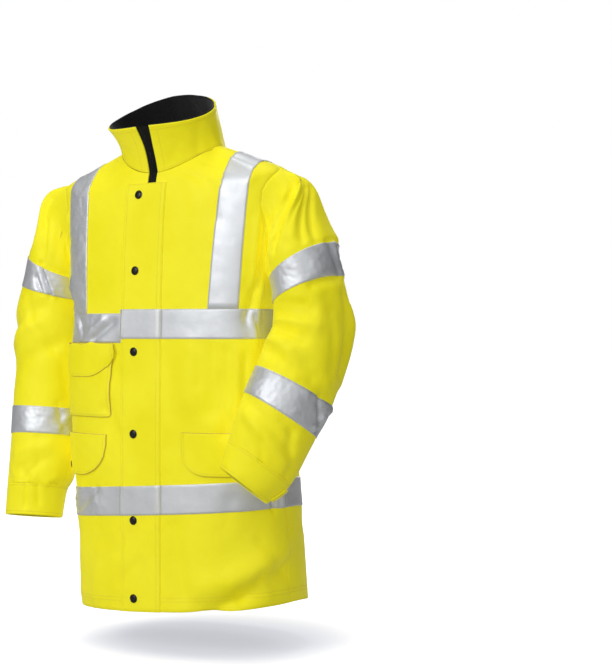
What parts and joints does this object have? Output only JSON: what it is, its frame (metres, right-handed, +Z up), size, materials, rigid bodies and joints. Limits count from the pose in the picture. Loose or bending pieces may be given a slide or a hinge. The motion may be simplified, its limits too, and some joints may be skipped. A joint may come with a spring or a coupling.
{
  "type": "hi-vis work jacket",
  "caption": "Hip-length fluorescent yellow work jacket with reflective tape, stand collar, studded storm flap over a zip and flapped pockets, filled out as if worn",
  "frame": {"origin": "middle of the neck, level with the inner ends of the shoulder seams, where the wearer's shoulders carry the jacket", "axes": "+X is the wearer's left, -Y is the way the wearer faces, +Z is up along the wearer's body"},
  "size_m": [0.6785, 0.3775, 0.9053],
  "materials": {
    "fluorescent_cloth": "coated woven, soft sheen",
    "reflective_tape": "silver-grey glass-bead tape, satin",
    "collar_lining": "brushed, matte",
    "zip_tape": "woven tape, matte",
    "stud": "domed cap, gloss"
  },
  "bodies": {
    "root": {"back": "fluorescent_cloth", "brace_back_left": "reflective_tape", "brace_back_right": "reflective_tape", "brace_front_left": "reflective_tape", "brace_front_right": "reflective_tape", "chest_pocket_body": "fluorescent_cloth", "chest_pocket_flap": "fluorescent_cloth", "chest_tape_back": "reflective_tape", "chest_tape_flap": "reflective_tape", "chest_tape_front_left": "reflective_tape", "chest_tape_front_right": "reflective_tape", "collar": "fluorescent_cloth", "collar_lining": "collar_lining", "cuff_left": "fluorescent_cloth", "cuff_right": "fluorescent_cloth", "cuff_tab_left": "fluorescent_cloth", "cuff_tab_right": "fluorescent_cloth", "front_left": "fluorescent_cloth", "front_right": "fluorescent_cloth", "hem_tape_back": "reflective_tape", "hem_tape_flap": "reflective_tape", "hem_tape_front_left": "reflective_tape", "hem_tape_front_right": "reflective_tape", "lower_pocket_flap_left": "fluorescent_cloth", "lower_pocket_flap_right": "fluorescent_cloth", "pocket_stud": "stud", "sleeve_left": "fluorescent_cloth", "sleeve_lower_tape_left": "reflective_tape", "sleeve_lower_tape_right": "reflective_tape", "sleeve_right": "fluorescent_cloth", "sleeve_upper_tape_left": "reflective_tape", "sleeve_upper_tape_right": "reflective_tape", "storm_flap": "fluorescent_cloth", "stud_1": "stud", "stud_2": "stud", "stud_3": "stud", "stud_4": "stud", "stud_5": "stud", "stud_6": "stud", "zip_left": "zip_tape", "zip_right": "zip_tape"}
  },
  "joints": []
}
